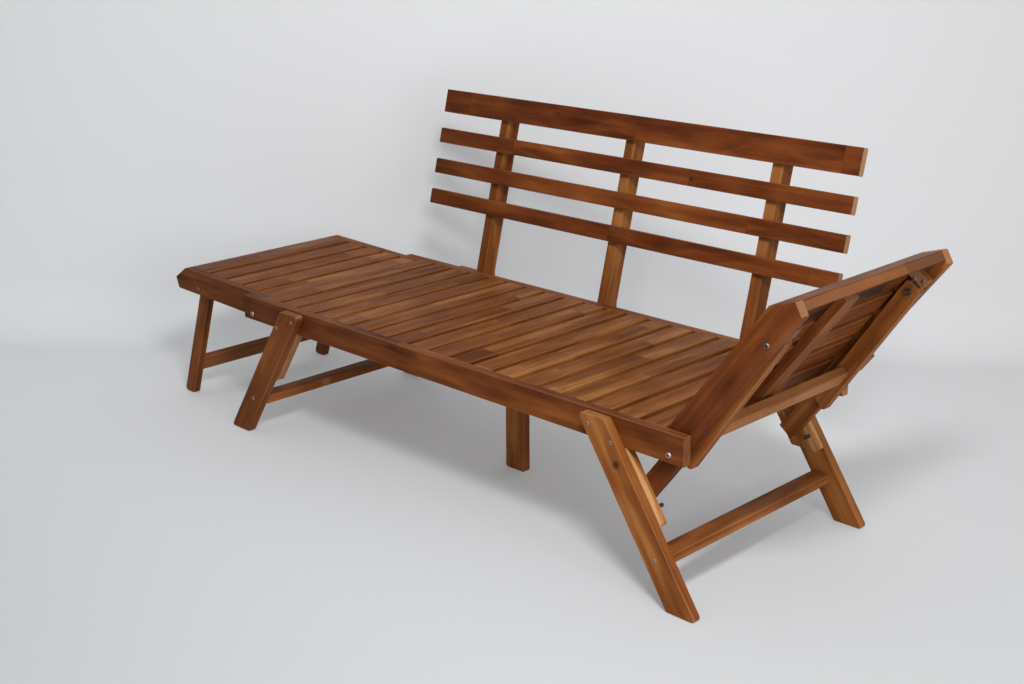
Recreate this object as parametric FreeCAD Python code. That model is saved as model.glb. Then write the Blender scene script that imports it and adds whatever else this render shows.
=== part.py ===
import FreeCAD, Part
import math
import os

os.makedirs("parts", exist_ok=True)

V = FreeCAD.Vector

# All sizes are millimetres. X runs along the bench, Y from front to back, Z is up.
# X = 0 and Y = 0 are the middle of the seat, Z = 0 is the floor.

# Seat frame.
rail_length = 1345.0
rail_height = 58.0
board = 21.0
seat_width = 537.0
seat_height = 344.5

# Seat slats, all alike and level with the top of the rails.
slat_count = 19
slat_end_room = 60.95
slat_width = 49.5
slat_thickness = 20.0
bearer_height = 30.0
bearer_inset = 68.0

# Main legs on the outside of the rails, splayed along the bench. The inset is from the end of
# the rail to the middle of the leg, at the rail's lower edge.
leg_splay = 33.8
leg_width = 58.0
leg_inset = 170.3
leg_top_drop = 4.0
doubler_drop = 135.5
leg_round = 8.0
foot_round = 6.0
doubler_round = 6.0
brace_height = 91.0
brace_width = 42.0
brace_thickness = 20.0
brace_inset = 9.5
centre_leg_lap = 8.05
centre_leg_y = -3.0

# Backrest. The outer posts stand beside the tops of the rear legs.
back_lean = 14.2
post_leg_gap = 7.15
post_width = 28.0
post_depth = 40.0
back_slat_end_room = 55.9
back_slat_thickness = 17.0
back_top_slat_width = 58.0
back_slat_width = 38.0
back_slat_gap = 41.0
back_first_slat = 145.2
post_top_short = 9.0

# End panels. Lengths run outward from the hinge bolt with the panel drawn out, and heights of
# the nose and the stop are above the lower edge of the side rail.
hinge_inset = 32.9
hinge_above_rail_bottom = 15.5
panel_slot_travel = 44.5
panel_out_angle = 52.87
panel_low_angle = 1.4
panel_high_angle = 60.0
left_angle = panel_low_angle
right_angle = panel_out_angle
panel_slat_start = 17.6
panel_slat_width = 51.5
panel_slat_pitch = 69.0
panel_slats = 4
end_board_width = 69.2
nose_reach = 44.0
nose_rise = 26.9
nose_undercut = 11.4
tail_past_peg = 14.3
tail_room = 6.5
tail_drop = 6.2
tail_step = 20.0
corner_round = 3.0
bend_round = 8.0
shoulder_round = 6.0
notch_round = 2.0
batten_width = 40.0
batten_thickness = 20.0
batten_y = -30.0
batten_start_room = 3.0
batten_end_gap = 0.5
cleat_length = 48.0
cleat_overhang = 9.0
cleat_height = 30.0
cleat_thickness = 12.0
cleat_gap = 0.6
leg_stop_length = 22.0
leg_stop_rise = 1.0

# Folding legs under the end panels.
fold_pivot_inset = 55.4
fold_top_gap = 4.4
fold_leg_width = 37.0
fold_splay = 20.1
fold_round = 9.0
fold_heel_round = 4.0
fold_top_round = 9.5
fold_travel = 105.5
fold_brace_from_pivot = 240.0
fold_brace_width = 37.0

# Fasteners.
bolt = 8.0
bolt_head = 12.5
bolt_head_height = 4.0
nut = 13.0
nut_height = 5.0
peg = 8.0
peg_reach = 14.0
peg_edge_room = 7.97

# Fits and eased edges.
side_gap = 0.4
bore_gap = 0.05
slot_gap = 0.3
nut_gap = 0.4
nut_sunk = 0.5
head_gap = 0.2
seat_gap = 0.3
ease = 1.5
through = 1.0

rail_bottom = seat_height - rail_height
half_width = seat_width / 2
rail_inside = half_width - board
side_rail_outside = rail_inside - side_gap
side_rail_inside = side_rail_outside - board
fold_leg_outside = side_rail_inside - side_gap
fold_leg_inside = fold_leg_outside - slat_thickness
slat_bottom = seat_height - slat_thickness
slat_pitch = (rail_length - 2 * slat_end_room - slat_width) / (slat_count - 1)
doubler_bottom = rail_bottom - doubler_drop
hinge_x = rail_length / 2 - hinge_inset
hinge_z = rail_bottom + hinge_above_rail_bottom

rail_under = -hinge_above_rail_bottom
rail_over = rail_height - hinge_above_rail_bottom
tail_top = rail_over - slat_thickness - tail_room
nose_top = panel_slat_start + panel_slats * panel_slat_pitch + end_board_width
nose_tip = nose_top + nose_reach
nose_bottom = nose_tip - nose_undercut
nose_tip_height = rail_under + nose_rise
fold_pivot = nose_top - fold_pivot_inset
fold_pivot_height = rail_over - slat_thickness - fold_leg_width / 2 - fold_top_gap
leg_stop_bottom = rail_under + leg_stop_rise

splay = math.radians(leg_splay)
half_cut = leg_width / 2 / math.cos(splay)
leg_top = seat_height - leg_top_drop
foot_x = rail_length / 2 - leg_inset + rail_bottom * math.tan(splay)
post_x = foot_x - leg_top * math.tan(splay) - half_cut - post_leg_gap - post_width / 2
back_slat_half_length = rail_length / 2 - back_slat_end_room
centre_leg_x = -slat_pitch + slat_width / 2 - centre_leg_lap + leg_width / 2


def box(x0, x1, y0, y1, z0, z1, along=""):
    """A plain board; the edges that run along the named axis are eased."""
    shape = Part.makeBox(x1 - x0, y1 - y0, z1 - z0, V(x0, y0, z0))
    if along:
        edges = [e for e in shape.Edges if abs(getattr(e.tangentAt(e.FirstParameter), along)) > 0.9]
        shape = shape.makeChamfer(ease, edges)
    return shape


def outline(corners):
    """A closed wire through (a, b, radius) corners in the XZ plane, each corner rounded by its radius."""
    pieces = []
    ends = []
    count = len(corners)
    for i in range(count):
        a, b, r = corners[i]
        here = V(a, 0, b)
        before = V(corners[i - 1][0], 0, corners[i - 1][1])
        after = V(corners[(i + 1) % count][0], 0, corners[(i + 1) % count][1])
        if r <= 0:
            ends.append((here, here, None))
            continue
        to_before = (before - here).normalize()
        to_after = (after - here).normalize()
        half = to_before.getAngle(to_after) / 2
        reach = r / math.tan(half)
        middle = (to_before + to_after).normalize()
        centre = here + middle * (r / math.sin(half))
        ends.append((here + to_before * reach, here + to_after * reach, centre - middle * r))
    for i in range(count):
        start, stop, mid = ends[i]
        if mid is not None:
            pieces.append(Part.Arc(start, mid, stop).toShape())
        follow = ends[(i + 1) % count][0]
        if stop.distanceToPoint(follow) > 1e-6:
            pieces.append(Part.makeLine(stop, follow))
    return Part.Wire(Part.__sortEdges__(pieces))


def plank(corners, y0, y1, eased=True):
    """A board cut to an outline, its flat faces at y0 and y1."""
    face = Part.Face(outline(corners))
    face.translate(V(0, y0, 0))
    shape = face.extrude(V(0, y1 - y0, 0))
    if eased:
        edges = []
        for e in shape.Edges:
            ys = [v.Point.y for v in e.Vertexes]
            if max(ys) - min(ys) < 1e-6:
                edges.append(e)
        shape = shape.makeChamfer(ease, edges)
    return shape


def rod(x, z, y0, y1, diameter):
    """A round bar along Y."""
    return Part.makeCylinder(diameter / 2, y1 - y0, V(x, y0, z), V(0, 1, 0))


def mirror_x(shape):
    return shape.mirror(V(0, 0, 0), V(1, 0, 0))


def mirror_y(shape):
    return shape.mirror(V(0, 0, 0), V(0, 1, 0))


def bolt_and_nut(y_head, y_nut):
    """A bolt along Y with a low domed head under y_head and a hexagon nut that starts at y_nut."""
    shank = rod(0, 0, y_head, y_nut, bolt)
    radius = (bolt_head ** 2 / 4 + bolt_head_height ** 2) / (2 * bolt_head_height)
    ball = Part.makeSphere(radius, V(0, y_head - bolt_head_height + radius, 0))
    corner = V(-bolt_head / 2, y_head - bolt_head_height - through, -bolt_head / 2)
    slab = Part.makeBox(bolt_head, bolt_head_height + through, bolt_head, corner)
    reach = nut / math.sqrt(3)
    points = []
    for k in range(7):
        points.append(V(reach * math.cos(k * math.pi / 3), y_nut, reach * math.sin(k * math.pi / 3)))
    hexagon = Part.Face(Part.makePolygon(points)).extrude(V(0, nut_height, 0))
    return shank.fuse([ball.common(slab), hexagon]).removeSplitter()


nodes = {}


def add(name, shape):
    nodes[name] = shape


# Seat frame: two long rails, nineteen slats between them and three bearers below the slats.
rail_end = rail_length / 2
front_rail = box(-rail_end, rail_end, -half_width, -rail_inside, rail_bottom, seat_height, "x")
rear_rail = mirror_y(front_rail)

seat_end = slat_pitch * (slat_count - 1) / 2 + slat_width / 2
slats = []
for i in range(slat_count):
    x = (i - (slat_count - 1) / 2) * slat_pitch - slat_width / 2
    slats.append(box(x, x + slat_width, -rail_inside, rail_inside, slat_bottom, seat_height, "y"))



def bearer(y):
    """A board under the slats, its front face at y."""
    return box(-seat_end, seat_end, y, y + board, slat_bottom - bearer_height, slat_bottom, "x")


bearer_front = bearer(-half_width + bearer_inset)
bearer_rear = mirror_y(bearer_front)
bearer_middle = bearer(centre_leg_y - board)

centre_leg = plank(
    [
        (centre_leg_x - leg_width / 2, 0, foot_round),
        (centre_leg_x + leg_width / 2, 0, foot_round),
        (centre_leg_x + leg_width / 2, slat_bottom, 0),
        (centre_leg_x - leg_width / 2, slat_bottom, 0),
    ],
    centre_leg_y,
    centre_leg_y + board,
)

# Main legs: splayed boards on the outer faces of the rails with a doubler behind each.
def leg_axis(z):
    return foot_x - z * math.tan(splay)


leg_fr = plank(
    [
        (leg_axis(0) - half_cut, 0, foot_round),
        (leg_axis(0) + half_cut, 0, foot_round),
        (leg_axis(leg_top) + half_cut, leg_top, leg_round),
        (leg_axis(leg_top) - half_cut, leg_top, leg_round),
    ],
    -half_width - board,
    -half_width,
)
doubler_fr = plank(
    [
        (leg_axis(doubler_bottom) - half_cut, doubler_bottom, doubler_round),
        (leg_axis(doubler_bottom) + half_cut, doubler_bottom, doubler_round),
        (leg_axis(rail_bottom) + half_cut, rail_bottom, 0),
        (leg_axis(rail_bottom) - half_cut, rail_bottom, 0),
    ],
    -half_width,
    -rail_inside,
    eased=False,
)

brace_x = leg_axis(brace_height) - brace_inset
brace_r = box(
    brace_x - brace_width / 2,
    brace_x + brace_width / 2,
    -half_width,
    half_width,
    brace_height - brace_thickness / 2,
    brace_height + brace_thickness / 2,
    "y",
)

# Backrest: three posts on the outer face of the rear rail and four long slats on their fronts.
lean = math.radians(back_lean)
slat_starts = []
reach = back_first_slat
for k in range(3):
    slat_starts.append((reach, back_slat_width))
    reach += back_slat_width + back_slat_gap
slat_starts.append((reach, back_top_slat_width))
post_reach = reach + back_top_slat_width - post_top_short


def leaned(t, n):
    """A point t up the leaning front edge of a post and n behind it, as (y, z)."""
    return (
        half_width + t * math.sin(lean) + n * math.cos(lean),
        seat_height + t * math.cos(lean) - n * math.sin(lean),
    )


def post(x):
    bend = post_depth * math.tan(lean / 2)
    points = [
        (half_width, rail_bottom),
        (half_width + post_depth, rail_bottom),
        (half_width + post_depth, seat_height - bend),
        leaned(post_reach, post_depth),
        leaned(post_reach, 0),
        (half_width, seat_height),
    ]
    wire = Part.makePolygon([V(x - post_width / 2, y, z) for y, z in points + points[:1]])
    shape = Part.Face(wire).extrude(V(post_width, 0, 0))
    edges = [e for e in shape.Edges if abs(e.tangentAt(e.FirstParameter).x) < 0.1]
    return shape.makeChamfer(ease, edges)


def back_slat(start, width):
    low_y, low_z = leaned(start, -back_slat_thickness)
    shape = box(-back_slat_half_length, back_slat_half_length, 0, back_slat_thickness, 0, width, "x")
    shape.rotate(V(0, 0, 0), V(1, 0, 0), -back_lean)
    shape.translate(V(0, low_y, low_z))
    return shape


posts = {"left": post(-post_x), "middle": post(0), "right": post(post_x)}
back_slats = [back_slat(s, w) for s, w in slat_starts]

# Stop pegs in the doublers: the tail of a fully raised side rail comes down on its peg. A peg
# lies where the line under that tail crosses a line along the leg, a little inside its edge.
high = math.radians(panel_high_angle)
peg_below = hinge_above_rail_bottom + tail_drop + peg / 2 + seat_gap
peg_line = foot_x + half_cut - peg_edge_room
peg_z = peg_line - hinge_x + hinge_z / math.tan(high) - peg_below / math.sin(high)
peg_z /= 1 / math.tan(high) + math.tan(splay)
peg_x = peg_line - peg_z * math.tan(splay)
peg_reach_down = (hinge_x - peg_x) * math.cos(high) + (hinge_z - peg_z) * math.sin(high)
peg_fr = rod(peg_x, peg_z, -rail_inside - board / 2, -rail_inside + peg_reach, peg)
pegs = [peg_fr, mirror_x(peg_fr), mirror_y(peg_fr), mirror_x(mirror_y(peg_fr))]


# One end panel, drawn out, with its hinge bolt at X = 0, Z = 0. Angle 0 is level.
slot_in = panel_slot_travel * (1 - panel_low_angle / panel_out_angle)
slot_out = -panel_slot_travel * (panel_high_angle / panel_out_angle - 1)
tail_length = peg_reach_down - slot_out + tail_past_peg


def side_rail_corners():
    return [
        (-tail_length, rail_under - tail_drop, corner_round),
        (-tail_step, rail_under - tail_drop, bend_round),
        (0, rail_under, bend_round),
        (nose_bottom, rail_under, corner_round),
        (nose_tip, nose_tip_height, corner_round),
        (nose_top, rail_over, 0),
        (panel_slat_start, rail_over, notch_round),
        (panel_slat_start, tail_top, shoulder_round),
        (-tail_length, tail_top, corner_round),
    ]


def slot_tool(width, y0, y1, spare=0.0):
    """A round-ended bar along the slide, as long as the travel and the spare length at each end."""
    a = slot_out - spare
    b = slot_in + spare
    middle = Part.makeBox(b - a, y1 - y0, width, V(a, y0, -width / 2))
    return middle.fuse([rod(a, 0, y0, y1, width), rod(b, 0, y0, y1, width)]).removeSplitter()


def front_side_rail():
    """The slotted board: a slot for the bolt, a wider one for the sunk nut, a bore for the leg."""
    outside = -side_rail_outside - through
    inside = -side_rail_inside + through
    nut_floor = -side_rail_inside - nut_height - 2 * nut_gap
    nut_corner_room = nut / 6
    shape = plank(side_rail_corners(), -side_rail_outside, -side_rail_inside, eased=False)
    shape = shape.cut(slot_tool(bolt + 2 * slot_gap, outside, inside))
    shape = shape.cut(slot_tool(nut + 2 * nut_gap, nut_floor, inside, nut_corner_room))
    return shape.cut(rod(fold_pivot, fold_pivot_height, outside, inside, bolt + 2 * bore_gap))


slope = math.atan2(rail_over - nose_tip_height, nose_tip - nose_top)
mitre = (nose_top - slat_thickness * math.tan(slope / 2), rail_over - slat_thickness)


def end_boards():
    """The flat end board and the sloped nose board, mitred where they meet."""
    end_face = math.atan2(nose_tip_height - rail_under, nose_tip - nose_bottom)
    down = slat_thickness / math.sin(math.pi - slope - end_face)
    start = panel_slat_start + panel_slats * panel_slat_pitch
    flat = [(start, mitre[1], 0), mitre + (0,), (nose_top, rail_over, 0), (start, rail_over, 0)]
    nose = [
        mitre + (0,),
        (nose_tip - down * math.cos(end_face), nose_tip_height - down * math.sin(end_face), notch_round),
        (nose_tip, nose_tip_height, corner_round),
        (nose_top, rail_over, 0),
    ]
    y = side_rail_inside
    return [plank(flat, -y, y, eased=False), plank(nose, -y, y, eased=False)]


def panel_slat(i):
    x = panel_slat_start + i * panel_slat_pitch
    low = rail_over - slat_thickness
    return box(x, x + panel_slat_width, -side_rail_inside, side_rail_inside, low, rail_over, "y")


def batten():
    low = rail_over - slat_thickness - batten_thickness
    return box(
        panel_slat_start + batten_start_room,
        mitre[0] - batten_end_gap,
        batten_y - batten_width / 2,
        batten_y + batten_width / 2,
        low,
        rail_over - slat_thickness,
        "x",
    )


def cleat():
    """A stop block on the outer face of the rear side rail that meets the end of the main rail."""
    start = hinge_inset + slot_in + cleat_gap
    low = rail_under - cleat_overhang
    return box(
        start,
        start + cleat_length,
        side_rail_outside,
        side_rail_outside + cleat_thickness,
        low,
        low + cleat_height,
        "y",
    )


def leg_stop():
    """A block in the corner under the end board that the opened leg leans on."""
    lean_out = math.radians(fold_splay - panel_low_angle)
    start = fold_pivot + fold_leg_width / 2 / math.cos(lean_out) + seat_gap
    start += (fold_pivot_height - leg_stop_bottom) * math.tan(lean_out)
    end = start + leg_stop_length
    top = rail_over - slat_thickness
    return box(start, end, -side_rail_inside, -fold_leg_inside, leg_stop_bottom, top, "z")


fold_z = hinge_z + (fold_pivot - slot_in) * math.sin(math.radians(panel_low_angle))
fold_z += fold_pivot_height * math.cos(math.radians(panel_low_angle))
fold_length = fold_z / math.cos(math.radians(fold_splay))


# The folding leg frame hangs straight down from its pivot at X = 0, Z = 0, before it is turned.
def fold_leg():
    half = fold_leg_width / 2
    foot_rise = half * math.tan(math.radians(fold_splay))
    corners = [
        (-half, -fold_length + foot_rise, fold_heel_round),
        (half, -fold_length - foot_rise, fold_round),
        (half, half, fold_top_round),
        (-half, half, fold_top_round),
    ]
    return plank(corners, -fold_leg_outside, -fold_leg_inside)


def fold_brace():
    return box(
        -slat_thickness / 2,
        slat_thickness / 2,
        -fold_leg_inside,
        fold_leg_inside,
        -fold_brace_from_pivot - fold_brace_width / 2,
        -fold_brace_from_pivot + fold_brace_width / 2,
        "y",
    )


def both_sides(shape):
    return [shape, mirror_y(shape)]


def slide_at(angle):
    """How far the panel is drawn out at an angle, measured from its drawn-out place."""
    return panel_slot_travel * (angle / panel_out_angle - 1)


def placed(shape, angle, side, slide=True):
    """Puts a panel piece at its hinge, turned up by the angle, on the right (+1) or left (-1)."""
    copy = shape.copy()
    if slide:
        copy.translate(V(slide_at(angle), 0, 0))
    copy.rotate(V(0, 0, 0), V(0, 1, 0), -angle)
    copy.translate(V(hinge_x, 0, hinge_z))
    return copy if side > 0 else mirror_x(copy)


def fold_placed(shape, angle, fold, side):
    """Turns a leg-frame piece on its pivot, then places it with its panel."""
    copy = shape.copy()
    turn = -(fold_splay - panel_low_angle) + fold
    copy.rotate(V(0, 0, 0), V(0, 1, 0), turn)
    copy.translate(V(fold_pivot, 0, fold_pivot_height))
    return placed(copy, angle, side)


def group(shapes):
    return Part.makeCompound(shapes)


hinge_hole = rod(hinge_x, hinge_z, -half_width - through, half_width + through, bolt + 2 * bore_gap)
front_rail = front_rail.cut(hinge_hole).cut(mirror_x(hinge_hole))
rear_rail = rear_rail.cut(hinge_hole).cut(mirror_x(hinge_hole))

frame_wood = {
    "front_rail": front_rail,
    "rear_rail": rear_rail,
    "centre_leg": centre_leg,
    "main_leg_front_right": leg_fr,
    "main_leg_front_left": mirror_x(leg_fr),
    "main_leg_rear_right": mirror_y(leg_fr),
    "main_leg_rear_left": mirror_x(mirror_y(leg_fr)),
    "leg_brace_right": brace_r,
    "leg_brace_left": mirror_x(brace_r),
    "back_post_left": posts["left"],
    "back_post_middle": posts["middle"],
    "back_post_right": posts["right"],
}
for i, s in enumerate(back_slats):
    frame_wood["back_slat_%d" % (i + 1)] = s
for name, shape in frame_wood.items():
    add(name, shape)
for i, s in enumerate(slats):
    add("seat_slat_%02d" % (i + 1), s)
add("seat_bearers", group([bearer_front, bearer_middle, bearer_rear]))
doubler = doubler_fr.cut(peg_fr)
add("leg_doublers", group([doubler, mirror_x(doubler), mirror_y(doubler), mirror_x(mirror_y(doubler))]))
add("stop_pegs", group(pegs))

rail = front_side_rail()
rail_back = mirror_y(rail)
hinge_bolts = both_sides(bolt_and_nut(-half_width - head_gap, -side_rail_inside - nut_height - nut_sunk))
fold_bolts = both_sides(bolt_and_nut(-side_rail_outside - head_gap, -fold_leg_inside + head_gap))
leg = fold_leg().cut(fold_bolts[0])
leg_back = mirror_y(leg)
brace = fold_brace()
stop = leg_stop()
for side, label, angle, fold in ((-1, "left", left_angle, 0.0), (1, "right", right_angle, fold_travel)):
    add(label + "_hinge_bolts", group([placed(b, angle, side, slide=False) for b in hinge_bolts]))
    add(label + "_side_rail_front", placed(rail, angle, side))
    add(label + "_side_rail_rear", placed(rail_back, angle, side))
    add(label + "_panel_slats", group([placed(panel_slat(i), angle, side) for i in range(panel_slats)]))
    add(label + "_end_boards", group([placed(b, angle, side) for b in end_boards()]))
    add(label + "_batten", placed(batten(), angle, side))
    add(label + "_stop_blocks", group([placed(b, angle, side) for b in (cleat(), stop, mirror_y(stop))]))
    add(label + "_fold_leg_front", fold_placed(leg, angle, fold, side))
    add(label + "_fold_leg_rear", fold_placed(leg_back, angle, fold, side))
    add(label + "_fold_brace", fold_placed(brace, angle, fold, side))
    add(label + "_fold_bolts", group([fold_placed(b, angle, fold, side) for b in fold_bolts]))

for name, shape in nodes.items():
    shape.exportStep("parts/" + name + ".step")
print(len(nodes), "nodes")
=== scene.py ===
import math

import bmesh
import bpy
from mathutils import Matrix, Vector
from mathutils.bvhtree import BVHTree


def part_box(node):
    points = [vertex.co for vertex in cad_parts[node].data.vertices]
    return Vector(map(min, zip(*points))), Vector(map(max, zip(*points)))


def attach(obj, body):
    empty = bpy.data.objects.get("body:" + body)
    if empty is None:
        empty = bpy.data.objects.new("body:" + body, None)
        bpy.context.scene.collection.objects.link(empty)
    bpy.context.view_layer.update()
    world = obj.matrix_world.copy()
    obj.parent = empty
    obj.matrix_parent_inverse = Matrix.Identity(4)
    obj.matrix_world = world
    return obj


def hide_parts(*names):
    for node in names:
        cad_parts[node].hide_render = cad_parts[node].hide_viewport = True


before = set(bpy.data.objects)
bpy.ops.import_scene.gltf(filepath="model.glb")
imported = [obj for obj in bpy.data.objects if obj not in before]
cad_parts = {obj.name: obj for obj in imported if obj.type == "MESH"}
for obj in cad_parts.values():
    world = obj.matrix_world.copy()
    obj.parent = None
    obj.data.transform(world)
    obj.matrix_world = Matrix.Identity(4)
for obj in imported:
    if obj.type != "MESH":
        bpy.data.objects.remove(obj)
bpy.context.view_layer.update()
print("frame loaded:", len(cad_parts), "nodes")


def linkNew(name, data):
    made = bpy.data.objects.new(name, data)
    bpy.context.scene.collection.objects.link(made)
    return made


# Short ways to place shader nodes. A value that is a socket is linked, any other is written.
def addNode(tree, kind, values=None, **settings):
    node = tree.nodes.new("ShaderNode" + kind)
    for name, value in settings.items():
        setattr(node, name, value)
    for name, value in (values or {}).items():
        socket = node.inputs[name]
        if isinstance(value, bpy.types.NodeSocket):
            tree.links.new(value, socket)
        else:
            socket.default_value = value
    return node


def mathNode(tree, operation, a, b=0.0, c=0.0, clamp=False):
    values = {0: a, 1: b, 2: c}
    return addNode(tree, "Math", values, operation=operation, use_clamp=clamp).outputs[0]


def vectorNode(tree, operation, a, b=(0, 0, 0), result="Vector"):
    return addNode(tree, "VectorMath", {0: a, 1: b}, operation=operation).outputs[result]


def noiseNode(tree, vector, detail, roughness=0.5, scale=1.0):
    values = {"Vector": vector, "Scale": scale, "Detail": detail, "Roughness": roughness}
    return addNode(tree, "TexNoise", values).outputs["Fac"]


def mixColours(tree, share, a, b, blend="MIX"):
    node = addNode(tree, "Mix", {0: share, 6: a, 7: b}, data_type="RGBA", blend_type=blend)
    return node.outputs[2]


def stretched(tree, vector, scale):
    return vectorNode(tree, "MULTIPLY", vector, scale)


def squared(tree, value):
    return mathNode(tree, "MULTIPLY", value, value)


def centred(tree, value):
    return mathNode(tree, "SUBTRACT", value, 0.5)


def inverted(tree, value):
    return mathNode(tree, "SUBTRACT", 1.0, value)


def smoothMask(tree, value, low, high):
    values = {"Value": value, "From Min": low, "From Max": high}
    return addNode(tree, "MapRange", values, interpolation_type="SMOOTHSTEP").outputs[0]


# 1 for what the camera sees, also in a reflection or through something clear, and 0 for light.
def seenNode(tree):
    path = addNode(tree, "LightPath").outputs
    seen = mathNode(tree, "MAXIMUM", path["Is Camera Ray"], path["Is Glossy Ray"])
    return mathNode(tree, "MAXIMUM", seen, path["Is Transmission Ray"])


def newGroup(name, inputs, outputs):
    tree = bpy.data.node_groups.new(name, "ShaderNodeTree")
    for label, kind, default in inputs:
        socket = tree.interface.new_socket(
            label, in_out="INPUT", socket_type="NodeSocket" + kind
        )
        socket.default_value = default
    for label, kind in outputs:
        tree.interface.new_socket(label, in_out="OUTPUT", socket_type="NodeSocket" + kind)
    given = tree.nodes.new("NodeGroupInput").outputs
    out = tree.nodes.new("NodeGroupOutput").inputs
    return tree, given, out


# Grain of one board, in metres. Scales are along, across and through it, in noise cells a metre.
grainLook = {
    "boardSeedStep": 3.37,
    "jointSeedStep": 0.618,
    "segmentSeedStep": 7.31,
    "segmentSeedShare": 1.93,
    "segmentJump": (13.0, 17.0, 19.0),
    "fingerWidth": 0.0032,
    "fingerSlope": 1.7,
    "seam": (0.0001, 0.0006),
    "knotStretch": 2.6,
    "knotPull": -0.75,
    "knotHeight": 1.25,
    "knotEdge": (0.15, 1.2),
    "knotRings": 16.0,
    "knotHalo": 0.30,
    "knotSwirl": -0.12,
    "raggedScale": (14.0, 95.0, 60.0),
    "raggedDetail": 3.0,
    "raggedReach": 1.6,
    "patchScale": (0.2, 1.0, 0.0),
    "patchEdge": (0.45, 1.1),
    "wanderScale": (3.2, 6.0, 6.0),
    "wanderDetail": 2.0,
    "wanderReach": 0.05,
    "wanderDeep": 0.7,
    "heartSpread": 0.05,
    "heartDepth": 0.022,
    "ringDensity": 130.0,
    "ringShift": 31.0,
    "ringDetail": 2.5,
    "ringShare": 0.65,
    # Scale, detail, roughness and share in the tone.
    "layers": {
        "clouds": ((1.7, 9.0, 9.0), 2.0, 0.5, 1.5),
        "blotches": ((6.0, 27.0, 27.0), 2.5, 0.5, 1.5),
        "streaks": ((2.4, 75.0, 75.0), 3.5, 0.52, 0.75),
        "fibres": ((22.0, 900.0, 900.0), 2.0, 0.5, 0.25),
    },
    "poreScale": (95.0, 2100.0, 2100.0),
    "poreDetail": 1.0,
    "poreEdge": (0.63, 0.74),
    "fibreRelief": 0.5,
    "relief": {"Pores": -0.8, "Rings": 0.35, "Seam": -0.5, "Knot": -0.4},
}


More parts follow.
